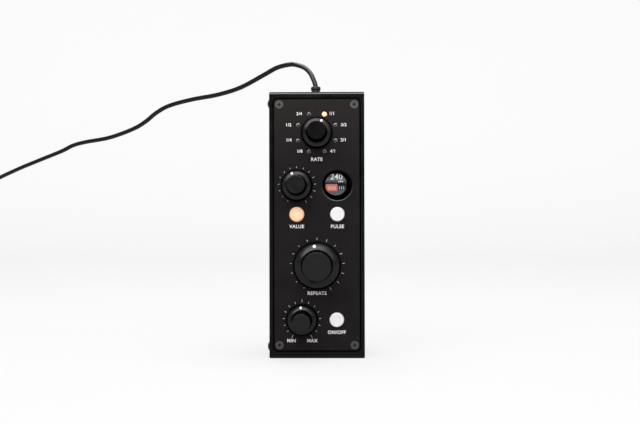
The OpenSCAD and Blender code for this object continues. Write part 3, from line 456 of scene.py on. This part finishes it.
def lacquer(name, colour, tracks):
    """A lacquered circuit board: fine tracks that show through the lacquer."""
    material = blank(name)
    set_all(material, coat=0.4, coat_roughness=0.2)
    weave = material.node_tree.nodes.new("ShaderNodeTexBrick")
    weave.inputs["Scale"].default_value = 1 / (TRACK_PITCH * MM)
    weave.inputs["Mortar Size"].default_value = TRACK_W
    weave.inputs["Color1"].default_value = (*colour, 1)
    weave.inputs["Color2"].default_value = (*[c * BOARD_SHADE for c in colour], 1)
    weave.inputs["Mortar"].default_value = (*tracks, 1)
    material.node_tree.links.new(on_piece(material), weave.inputs["Vector"])
    to_shader(material, "Base Color", weave.outputs["Color"])
    uneven_gloss(material, patches(material, size=4), roughness=0.38, spread=0.06)
    return material


def woven(name, colour):
    """A woven strap: threads across and along, a little fuzzy."""
    material = blank(name)
    heights = []
    for way in ("X", "Z"):
        threads = material.node_tree.nodes.new("ShaderNodeTexWave")
        threads.bands_direction = way
        threads.inputs["Scale"].default_value = 1 / (THREAD_PITCH * MM)
        threads.inputs["Distortion"].default_value = THREAD_WAVER
        material.node_tree.links.new(on_piece(material), threads.inputs["Vector"])
        heights.append(threads.outputs["Fac"])
    crossed = worked(material, "MULTIPLY", *heights)
    cloudy(material, crossed, colour, spread=0.35)
    uneven_gloss(material, patches(material, size=2), roughness=0.82, spread=0.06)
    raised(material, crossed, depth=0.12)
    return material


def lamp_behind(material, node, reach, inner, outer, strength):
    """Light from a lamp behind a node's middle: the inner colour there, and the outer one at that reach."""
    share = share_of(material, from_middle(material, node), 0, reach * MM)
    to_shader(material, "Emission Color", ramp(material, share, [(0, inner), (1, outer)]))
    set_all(material, glow_strength=strength)
    return material


# Finishes of single pieces

EDGE_BLUR = 0.1
CASE_COLOUR = (0.0014, 0.0014, 0.0015)
CASE_SPECULAR = 0.22
FRONT_DEPTH = 6  # how far back the case's inner edge goes without reflection, as painted shade
LIP_H = 0.95  # the dull lip along the case's top front edge
LIP_DEPTH = 1.5
LIP_SHARE = 0.15
PANEL_COLOUR = (0.0108, 0.0088, 0.0100)
PANEL_TOP_PAINTED_LIGHT = (0.0195, 0.0152, 0.0152)
PANEL_TOP_H = 45  # how far down the panel the painted light from above fades
PANEL_R = 2.6
PANEL_GAP = 0.4
SEAM_SHADE_W = 0.35  # the band of painted shade on each side of the seam round the panel
SEAM_SHADE_COLOUR = (0.0006, 0.0006, 0.0006)
BEVEL_W = 0.75
BEVEL_HIGHLIGHT_COLOUR = (0.09, 0.087, 0.087)
HIGHLIGHT_FROM = 0.25  # of the bevel's width
HIGHLIGHT_TO = 0.9
SCREW_COLOUR = (0.145, 0.14, 0.136)
CROSS_COLOUR = (0.03, 0.03, 0.03)
CROSS_TOP = 0.05
CROSS_DEPTH = 0.6
KNOB_COLOUR = (0.0022, 0.0022, 0.0021)
KNOB_SPECULAR = 0.45
SHADED_CAP_SPECULAR = 0.22
MATT_SPECULAR = 0.0
MATT_EDGE = 0.15
SMALL_KNOB = (5.8, 6.8, 9.3)  # radii of the cap, of the matt foot round it and of the brim's rim
LARGE_KNOB = (9.2, 10.3, 14.5)
LIGHT_COUNT = 8
LENS_R = 1.6


def past_outline(material, margin):
    """Nought within the panel's rounded outline, moved out by a margin, and one past it."""
    reach = (panel_high - panel_low) / 2
    corner_r = PANEL_R * MM
    aside = vector_worked(material, "ABSOLUTE", around(material, "front_panel"))
    from_corner = vector_worked(material, "SUBTRACT", aside, (reach.x - corner_r, 0, reach.z - corner_r))
    away = vector_worked(material, "LENGTH", vector_worked(material, "MAXIMUM", from_corner))
    return share_of(material, away, corner_r + (margin - EDGE_BLUR) * MM, corner_r + margin * MM)


def case_paint():
    """Black paint, its reflection taken off the edge that faces the panel's seam as painted shade, and duller
    on the lip over the front.
    """
    material = paint("case_paint", CASE_COLOUR, roughness=0.31, specular=CASE_SPECULAR)
    low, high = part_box("case_body")
    depth, height = along(material, "Y"), along(material, "Z")

    def deeper(limit):
        return share_of(material, depth, low.y + (limit - EDGE_BLUR) * MM, low.y + limit * MM)

    # Painted shade: the case's edge beside the seam loses its reflection, so it reads dark.
    past_seam = past_outline(material, PANEL_GAP + SEAM_SHADE_W)
    off_seam = worked(material, "MAXIMUM", past_seam, deeper(FRONT_DEPTH))
    under_lip = share_of(material, height, high.z - LIP_H * MM, high.z - (LIP_H + EDGE_BLUR) * MM)
    past_lip = worked(material, "MAXIMUM", under_lip, deeper(LIP_DEPTH))
    off_lip = worked(material, "MAXIMUM", past_lip, LIP_SHARE)
    shiny = worked(material, "MINIMUM", off_seam, off_lip)
    to_shader(material, "Specular IOR Level", worked(material, "MULTIPLY", shiny, CASE_SPECULAR))
    return material


def panel_paint():
    """Charcoal paint, with painted light making it paler at the top, a painted highlight on the lower half of
    the display's bevel, and painted shade along the panel's edge.
    """
    material = paint("charcoal_paint", PANEL_COLOUR, roughness=0.50, specular=0.12)
    height = along(material, "Z")
    # Painted light: the panel is paler towards its top, as if lit from above.
    painted_light_near_top = share_of(material, height, panel_high.z - PANEL_TOP_H * MM, panel_high.z)
    overlaid(material, painted_light_near_top, PANEL_TOP_PAINTED_LIGHT)
    # Painted highlight: a pale arc on the lower half of the display hole's bevel, where light from above
    # would catch it.
    low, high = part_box("display_window")
    hole_r = (high.x - low.x) / 2
    on_bevel = share_of(material, from_middle(material, "display_window"), hole_r, hole_r + BEVEL_W * MM)
    none, full = (0, 0, 0), (1, 1, 1)
    bevel_highlight = ramp(material, on_bevel, [(0, none), (HIGHLIGHT_FROM, full), (HIGHLIGHT_TO, full), (1, none)])
    below = share_of(material, height, (low.z + high.z) / 2, low.z)
    overlaid(material, worked(material, "MULTIPLY", bevel_highlight, below), BEVEL_HIGHLIGHT_COLOUR)
    # Painted shade: a near-black band along the panel's edge, beside the seam.
    overlaid(material, past_outline(material, -SEAM_SHADE_W), SEAM_SHADE_COLOUR)
    return material


def panel_screw():
    """Dulled screws, dark down in the cross where no light gets."""
    material = bare_metal("dull_steel", roughness=0.42)
    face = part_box("front_panel_screws")[0].y
    depth = share_of(material, along(material, "Y"), face + CROSS_TOP * MM, face + CROSS_DEPTH * MM)
    to_shader(material, "Base Color", ramp(material, depth, [(0, SCREW_COLOUR), (1, CROSS_COLOUR)]))
    return material


def knob_finish(node, cap_r, foot_r, rim_r, cap_specular=KNOB_SPECULAR):
    """Satin black plastic, dead matt on the cap's wall and on the brim's side."""
    material = moulded(node + "_plastic", KNOB_COLOUR, roughness=0.30, specular=KNOB_SPECULAR)
    low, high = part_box(node)
    whole_r = (high.x - low.x) / 2 / MM
    away = share_of(material, from_middle(material, node), 0, whole_r * MM)
    cap, satin, matt = ((level,) * 3 for level in (cap_specular, KNOB_SPECULAR, MATT_SPECULAR))
    stops = [(0, cap), (cap_r - MATT_EDGE, cap), (cap_r, matt), (foot_r, matt), (foot_r + MATT_EDGE, satin),
             (rim_r - MATT_EDGE, satin), (rim_r, matt)]
    level = ramp(material, away, [(place / whole_r, colour) for place, colour in stops])
    to_shader(material, "Specular IOR Level", level)
    return material


def from_nearest_light(material):
    """How far a place is from the middle of the nearest light of the top dial's ring, in metres."""
    def length(first, second):
        squares = [worked(material, "MULTIPLY", side, side) for side in (first, second)]
        return worked(material, "SQRT", worked(material, "ADD", *squares))

    axis = centre_of("time_knob")
    lit = centre_of("dial_light_lit") - axis
    ring_r = math.hypot(lit.x, lit.z)
    step_angle = 2 * math.pi / LIGHT_COUNT
    across = worked(material, "SUBTRACT", along(material, "X"), axis.x)
    up = worked(material, "SUBTRACT", along(material, "Z"), axis.z)
    out = length(across, up)
    turn = worked(material, "SUBTRACT", worked(material, "ARCTAN2", across, up), math.atan2(lit.x, lit.z))
    aside = worked(material, "WRAP", turn, step_angle / 2, -step_angle / 2)
    towards = worked(material, "MULTIPLY", out, worked(material, "COSINE", aside))
    beside = worked(material, "MULTIPLY", out, worked(material, "SINE", aside))
    return length(worked(material, "SUBTRACT", towards, ring_r), beside)


def clear_lens():
    """A clear lens, dark over its chip, with a painted pale ring for the light its rim would gather."""
    material = blank("clear_lens")
    share = share_of(material, from_nearest_light(material), 0, LENS_R * MM)
    dark, dim, pale = (0.015, 0.015, 0.015), (0.05, 0.05, 0.048), (0.30, 0.295, 0.28)
    # Painted light: the pale ring stands in for light gathered and reflected in the lens's rim.
    body = ramp(material, share, [(0, dim), (0.2, dark), (0.5, dark), (0.66, pale), (0.9, pale), (1, dim)])
    to_shader(material, "Base Color", body)
    uneven_gloss(material, patches(material, size=1), roughness=0.16, spread=0.05)
    raised(material, patches(material, size=0.5), depth=0.004)
    set_all(material, coat=1, coat_roughness=0.06)
    return material


def clear_window():
    """A clear pane with a faint uneven tint."""
    material = blank("clear_window")
    tint = patches(material, size=6)
    cloudy(material, tint, (0.70, 0.72, 0.74), spread=0.03)
    uneven_gloss(material, tint, roughness=0.04, spread=0.02)
    set_all(material, see_through=1, ior=1.3)
    return material


def screen_glass():
    """A lit screen: grey above and below, with a dark band at its middle."""
    material = moulded("screen_glass", (0.004, 0.004, 0.004), roughness=0.3, specular=0.03)
    low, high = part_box("display_screen")
    share = share_of(material, along(material, "Z"), low.z, high.z)
    grey, pale, dark = (0.15, 0.15, 0.155), (0.19, 0.19, 0.195), (0.004, 0.004, 0.004)
    stops = [(0, grey), (0.25, grey), (0.42, dark), (0.54, dark), (0.69, pale), (0.85, dark)]
    to_shader(material, "Emission Color", ramp(material, share, stops))
    set_all(material, glow_strength=1)
    return material


lit_cap = lamp_behind(milky("lit_cap", (0.55, 0.42, 0.30), 0.35), "param_button", reach=5,
                      inner=(1.0, 0.74, 0.48), outer=(0.75, 0.36, 0.15), strength=0.6)
lit_lens = lamp_behind(milky("lit_lens", (0.9, 0.6, 0.3), 0.25), "dial_light_lit", reach=1.7,
                       inner=(1.0, 0.84, 0.60), outer=(1.0, 0.42, 0.16), strength=1.4)
finishes = {
    "case_black": case_paint(),
    "screw_black": metal("blackened_steel", (0.05, 0.05, 0.052), 0.42),
    "panel_charcoal": panel_paint(),
    "screw_grey": panel_screw(),
    "rubber_black": rubber("black_rubber", (0.005, 0.005, 0.005), 0.55),
    "board_green": lacquer("board_lacquer", (0.012, 0.065, 0.035), (0.03, 0.12, 0.06)),
    "brass": metal("turned_brass", (0.60, 0.46, 0.22), 0.3),
    "screw_steel": metal("plated_screws", (0.45, 0.45, 0.46), 0.3),
    "control_dark": moulded("control_plastic", (0.04, 0.042, 0.04), 0.5),
    "control_metal": metal("stamped_cover", (0.55, 0.55, 0.53), 0.35),
    "steel": metal("plated_nuts", (0.50, 0.50, 0.50), 0.35),
    "light_clear": clear_lens(),
    "light_lit": lit_lens,
    "spacer_black": moulded("spacer_plastic", (0.015, 0.015, 0.015), 0.5),
    "switch_black": moulded("switch_plastic", (0.012, 0.012, 0.012), 0.45),
    "lamp": moulded("lamp_chip", (0.90, 0.76, 0.45), 0.4),
    "window_clear": clear_window(),
    "bezel_black": moulded("bezel_plastic", (0.002, 0.002, 0.002), 0.7, 0.2),
    "screen": screen_glass(),
    "board_blue": lacquer("display_lacquer", (0.012, 0.045, 0.07), (0.03, 0.09, 0.13)),
    "capacitor": metal("capacitor_can", (0.60, 0.60, 0.62), 0.3),
    "ribbon_grey": moulded("ribbon_plastic", (0.45, 0.45, 0.45), 0.5),
    "header_cream": moulded("header_plastic", (0.75, 0.72, 0.63), 0.5),
    "cord_black": rubber("cord_rubber", (0.003, 0.003, 0.003), 0.26, 0.4),
    "tie_black": woven("tie_cloth", (0.016, 0.016, 0.016)),
    "grip_black": rubber("grip_rubber", (0.010, 0.010, 0.010), 0.5),
    "plug_steel": metal("plug_metal", (0.62, 0.62, 0.63), 0.3),
    "tongue_white": moulded("tongue_plastic", (0.80, 0.78, 0.72), 0.4),
    "knob_black": knob_finish("feedback_knob", *LARGE_KNOB),
    "dot_white": moulded("white_dot", (0.90, 0.89, 0.87), 0.5),
    "shaft_steel": metal("turned_shaft", (0.48, 0.48, 0.47), 0.3),
    "button_white": milky("milky_cap", (0.87, 0.845, 0.85), 0.35),
    "button_lit": lit_cap,
    "plunger_cream": moulded("plunger_plastic", (0.70, 0.66, 0.58), 0.5),
}
# The top dial's cap gets a copy of the knob finish with less reflection: a shaded copy that makes it darker.
small_caps = {"time_knob": SHADED_CAP_SPECULAR, "param_knob": KNOB_SPECULAR, "mix_knob": KNOB_SPECULAR}
for part in frame["record"]["subparts"]:
    for place in frame["nodes"][part["node"]].material_slots:
        place.material = finishes[part["material_slot"]]
for knob, cap_specular in small_caps.items():
    frame["nodes"][knob].material_slots[0].material = knob_finish(knob, *SMALL_KNOB, cap_specular)
cord_run.data.materials.append(finishes["cord_black"])

# Printing on the panel: marks round the dials, numbers by the lights, and words by the dials and buttons

PRINT_T = 0.04
PRINT_STEPS = 3
LETTER_STEPS = 4
BAR_ROUNDING = 0.45
MARK_W = 0.2
MARK_COUNT = 15
MARK_FIRST = -150  # degrees from upright
MARK_LAST = 150
SMALL_MARKS_R = 11.3
LARGE_MARKS_R = 16.5
LETTER_SIZE = 3.1
NUMBER_SIZE = 2.8
LETTER_BOLD = 0.065
LETTER_SPACE = 1.06
STEP_NUMBERS = [  # each with its place from the top dial's middle
    ("3/4", -11.4, 12.3), ("1/1", 9.9, 12.4), ("1/2", -18.4, 5.1), ("3/2", 17.6, 5.1),
    ("1/4", -18.2, -4.8), ("2/1", 17.4, -4.8), ("1/8", -11.1, -12.1), ("4/1", 10.5, -12.1),
]
RATE_Z = 129.3
REPEATS_Z = 42.3
ON_OFF_Z = 16.9
ENDS_Z = 11.5
MIN_LEFT = 6.9
MAX_RIGHT = 6.6
UNDER_BUTTON = 8
print_y = panel_y - PRINT_T / 2 * MM
pale_print = moulded("pale_print", (0.88, 0.87, 0.86), 0.6)


def middle(node):
    """A node's middle on the panel, as (x, z) in millimetres."""
    low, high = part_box(node)
    return (low.x + high.x) / 2 / MM, (low.z + high.z) / 2 / MM


def bar(x, z, width, height, turn=0.0, y=print_y, rounding=BAR_ROUNDING):
    """A thin printed bar with corners rounded by that share of its width, turned clockwise in degrees."""
    deselect()
    bpy.ops.mesh.primitive_cube_add(size=1)
    piece = bpy.context.object
    piece.scale = (width * MM, PRINT_T * MM, height * MM)
    settle(piece)
    pick_edges(piece, lambda a, b: abs(b.y - a.y) > PRINT_T / 2 * MM)
    bpy.ops.mesh.bevel(offset=rounding * min(width, height) * MM, segments=PRINT_STEPS)
    bpy.ops.object.mode_set(mode="OBJECT")
    piece.rotation_euler.y = math.radians(turn)
    piece.location = (x * MM, y, z * MM)
    return settle(piece)


def words(text, x, z, size=LETTER_SIZE, y=print_y):
    """Thin printed letters or numbers, about that middle."""
    deselect()
    bpy.ops.object.text_add()
    letters = bpy.context.object
    letters.data.body = text
    letters.data.size = size * MM
    letters.data.align_x = "CENTER"
    letters.data.align_y = "CENTER"
    letters.data.extrude = PRINT_T / 2 * MM
    letters.data.offset = LETTER_BOLD * MM
    letters.data.space_character = LETTER_SPACE
    letters.data.resolution_u = LETTER_STEPS
    bpy.ops.object.convert(target="MESH")
    piece = bpy.context.object
    piece.rotation_euler.x = math.radians(90)
    piece.location = (x * MM, y, z * MM)
    return settle(piece)


def dial_marks(node, inner_r, lengths):
    """Marks round a dial, all from one inner circle, with a length for each."""
    x, z = middle(node)
    pieces = []
    for i, length in enumerate(lengths):
        turn = MARK_FIRST + (MARK_LAST - MARK_FIRST) * i / (MARK_COUNT - 1)
        reach = inner_r + length / 2
        angle = math.radians(turn)
        pieces.append(bar(x + reach * math.sin(angle), z + reach * math.cos(angle), MARK_W, length, turn))
    return pieces


def growing(first, last):
    return [first + (last - first) * i / (MARK_COUNT - 1) for i in range(MARK_COUNT)]


def with_long_ends(plain, long):
    chosen = (0, MARK_COUNT // 2, MARK_COUNT - 1)
    return [long if i in chosen else plain for i in range(MARK_COUNT)]


def print_panel():
    pieces = dial_marks("param_knob", SMALL_MARKS_R, growing(first=0.6, last=1.7))
    pieces += dial_marks("feedback_knob", LARGE_MARKS_R, growing(first=0.9, last=2.1))
    pieces += dial_marks("mix_knob", SMALL_MARKS_R, with_long_ends(plain=1.15, long=2.1))
    time_x, time_z = middle("time_knob")
    pieces += [words(text, time_x + x, time_z + z, NUMBER_SIZE) for text, x, z in STEP_NUMBERS]
    param_x, button_z = middle("param_button")
    right_x, _ = middle("tempo_button")
    on_off_x, _ = middle("on_off_button")
    mix_x, _ = middle("mix_knob")
    pieces += [
        words("RATE", time_x, RATE_Z),
        words("VALUE", param_x, button_z - UNDER_BUTTON),
        words("PULSE", right_x, button_z - UNDER_BUTTON),
        words("REPEATS", time_x, REPEATS_Z),
        words("MIN", mix_x - MIN_LEFT, ENDS_Z),
        words("MAX", mix_x + MAX_RIGHT, ENDS_Z),
        words("ON/OFF", on_off_x, ON_OFF_Z),
    ]
    printed = join(pieces, "panel_print", pale_print)
    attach(printed, "unit")


print_panel()

# Display picture: a lit number, a coloured block with pale bars on it, and small bars beside it

SHOWN_SIZE = 5.2
SHOWN_RIGHT = 0.3
SHOWN_UP = 4.9
BLOCK_RIGHT = -2.9
BLOCK_UP = -2.0
BLOCK_W = 7.7
BLOCK_H = 4.5
BLOCK_ROUNDING = 0.15
DIM_SHARE = 0.92
# Rows of bars: how many, the first one's place from the screen's middle, the step, a bar's width and height
UNDER_NUMBER = (3, 1.9, 2.0, 1.15, 0.8, 1.0)
ON_BLOCK = (4, -4.6, -2.3, 1.35, 0.75, 2.2)
BESIDE_BLOCK = (3, 2.2, -2.1, 1.35, 0.75, 2.0)
picture_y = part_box("display_screen")[0].y - PRINT_T / 2 * MM
screen_x, screen_z = middle("display_screen")


def lit_picture(name, colour):
    """A lit part of the picture, a little brighter in places."""
    material = blank(name)
    set_all(material, roughness=0.4, glow_strength=1)
    spots = patches(material, size=1.5)
    dim = [c * DIM_SHARE for c in colour]
    to_shader(material, "Emission Color", ramp(material, spots, [(PATCH_LOW, dim), (PATCH_HIGH, colour)]))
    cloudy(material, spots, (0.03, 0.03, 0.03), spread=0.1)
    return material


def bars(count, right, up, step, width, height, y=picture_y):
    return [bar(screen_x + right + step * i, screen_z + up, width, height, y=y) for i in range(count)]


def show(pieces, name, material):
    shown = join(pieces, name, material)
    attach(shown, "unit")


def picture():
    number = words("240", screen_x + SHOWN_RIGHT, screen_z + SHOWN_UP, SHOWN_SIZE, picture_y)
    show([number] + bars(*UNDER_NUMBER), "display_number", lit_picture("lit_white", (1.0, 1.02, 1.06)))
    block = bar(screen_x + BLOCK_RIGHT, screen_z + BLOCK_UP, BLOCK_W, BLOCK_H,
                y=picture_y, rounding=BLOCK_ROUNDING)
    show([block], "display_block", lit_picture("lit_red", (0.80, 0.19, 0.12)))
    over_block = bars(*ON_BLOCK, y=picture_y - PRINT_T * MM)
    show(over_block, "display_bar", lit_picture("lit_pink", (0.90, 0.56, 0.52)))
    show(bars(*BESIDE_BLOCK), "display_side_bar", lit_picture("lit_grey", (0.42, 0.41, 0.44)))


picture()

# Studio: a pale floor that runs up into a backdrop, soft lamps, and a room that is dim on the camera's side

FLOOR_HALF = 6.0
BACKDROP_AT = 3.0
BACKDROP_H = 5.0
BACKDROP_ROUND = 1.5
BACKDROP_STEPS = 16
FLOOR_COLOUR = 0.11
FLOOR_GLOW = 0.72
BACKDROP_GLOW = 0.90
FILL_LIGHT = 0.45
ROOM_REFLECTED = 0.06
NEAR_REFLECTED = 0.27
FAR_REFLECTED = 0.8
FRONT_FLOOR = (-0.9, -0.1)  # from the far to the near level in reflections
BACK_FLOOR = (0.05, 0.5)  # from the near level to the white behind
BACK_ROOM = (0.15, 0.5)  # the same in the room, by direction
UNIT_MIDDLE = Vector((0, 0, 0.09))
LAMPS = {  # place, size and power
    "key_lamp": ((-0.45, -1.2, 1.45), (2.4, 1.5), 46),
    "right_lamp": ((1.0, -1.0, 0.9), (0.8, 1.0), 4),
    "top_lamp": ((0.1, 0.15, 1.5), (1.4, 0.7), 33),
}


def blend(owner, share, first, second):
    """The first level where the share is nought and the second where it is one; numbers or sockets."""
    mixed = owner.node_tree.nodes.new("ShaderNodeMix")
    owner.node_tree.links.new(share, mixed.inputs["Factor"])
    feed(owner, mixed.inputs["A"], first)
    feed(owner, mixed.inputs["B"], second)
    return mixed.outputs["Result"]


def share_behind(owner, way, front, back):
    """A share that rises from nought to one from front to back, along Y."""
    return share_of(owner, part_of(owner, way, "Y"), front, back, kind="SMOOTHSTEP")


def by_ray(owner, seen, reflected, otherwise):
    """One level where it is seen, straight or through glass, one in reflections, and one for other light."""
    path = owner.node_tree.nodes.new("ShaderNodeLightPath")
    is_seen = worked(owner, "MAXIMUM", path.outputs["Is Camera Ray"], path.outputs["Is Transmission Ray"])
    return blend(owner, is_seen, blend(owner, path.outputs["Is Glossy Ray"], otherwise, reflected), seen)


def floor_paper():
    """White paper that keeps the object's shadow, and that reflections meet beside and behind the object."""
    material = blank("floor_paper")
    cloudy(material, patches(material, size=400), (FLOOR_COLOUR,) * 3, spread=0.02)
    set_all(material, roughness=1, specular=0)
    shader_of(material).inputs["Emission Color"].default_value = WHITE
    places = on_piece(material)
    white = blend(material, share_behind(material, places, 0, BACKDROP_AT), FLOOR_GLOW, BACKDROP_GLOW)
    front = blend(material, share_behind(material, places, *FRONT_FLOOR), FAR_REFLECTED, NEAR_REFLECTED)
    reflected = blend(material, share_behind(material, places, *BACK_FLOOR), front, white)
    to_shader(material, "Emission Strength", by_ray(material, white, reflected, 0.0))
    return material


def make_floor():
    deselect()
    bpy.ops.mesh.primitive_plane_add(size=2)
    floor = bpy.context.object
    floor.name = "floor"
    floor.scale = (FLOOR_HALF, BACKDROP_AT, 1)
    settle(floor)
    pick_edges(floor, lambda a, b: min(a.y, b.y) > 0)
    bpy.ops.mesh.extrude_region_move(TRANSFORM_OT_translate={"value": (0, 0, BACKDROP_H)})
    bpy.ops.object.mode_set(mode="OBJECT")
    pick_edges(floor, lambda a, b: min(a.y, b.y) > 0 and max(a.z, b.z) < BACKDROP_H / 2)
    bpy.ops.mesh.bevel(offset=BACKDROP_ROUND, segments=BACKDROP_STEPS)
    bpy.ops.object.mode_set(mode="OBJECT")
    bpy.ops.object.shade_smooth()
    floor.data.materials.append(floor_paper())


def make_lamp(name, place, size, power):
    deselect()
    bpy.ops.object.light_add(type="AREA", location=place)
    light = bpy.context.object
    light.name = name
    light.data.shape = "RECTANGLE"
    light.data.size, light.data.size_y = size
    light.data.energy = power
    light.rotation_euler = (UNIT_MIDDLE - Vector(place)).to_track_quat("-Z", "Y").to_euler()


def make_surround():
    """White where it is seen and behind the object, dim on the camera's side, and a fill light all round."""
    world = bpy.data.worlds.new("surround")
    world.use_nodes = True
    background = world.node_tree.nodes["Background"]
    background.inputs["Color"].default_value = WHITE
    way = world.node_tree.nodes.new("ShaderNodeTexCoord").outputs["Generated"]
    reflected = blend(world, share_behind(world, way, *BACK_ROOM), ROOM_REFLECTED, 1.0)
    level = by_ray(world, 1.0, reflected, FILL_LIGHT)
    world.node_tree.links.new(level, background.inputs["Strength"])
    bpy.context.scene.world = world


make_floor()
for lamp_name, setting in LAMPS.items():
    make_lamp(lamp_name, *setting)
make_surround()
bpy.context.scene.view_settings.view_transform = "Standard"
